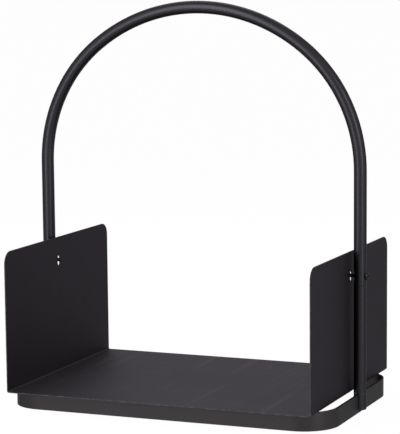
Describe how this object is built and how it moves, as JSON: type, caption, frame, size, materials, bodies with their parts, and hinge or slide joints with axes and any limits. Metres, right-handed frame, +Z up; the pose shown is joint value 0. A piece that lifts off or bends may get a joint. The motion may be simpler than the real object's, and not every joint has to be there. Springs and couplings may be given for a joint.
{
  "type": "firewood rack",
  "caption": "Free-standing log rack: sheet steel tray with side panels on a flat strip ring, with a tall bent tube arch as its handle.",
  "frame": {"origin": "on the floor under the middle of the base ring", "axes": "+Z up, +X towards the right-hand end seen from the front, -Y towards the front"},
  "size_m": [0.4494, 0.3, 0.5084],
  "materials": {
    "frame_coat": "satin black powder coat",
    "weld_coat": "satin black powder coat over a weld bead",
    "tray_coat": "satin black powder coat",
    "bare_steel": "turned steel",
    "screw_black": "black oxide"
  },
  "bodies": {
    "root": {"base_ring": "frame_coat", "left_post": "frame_coat", "right_post": "frame_coat", "arch_handle": "frame_coat", "weld_beads": "weld_coat", "left_spigot": "bare_steel", "right_spigot": "bare_steel", "tray": "tray_coat", "left_screw": "screw_black", "right_screw": "screw_black"}
  },
  "joints": []
}
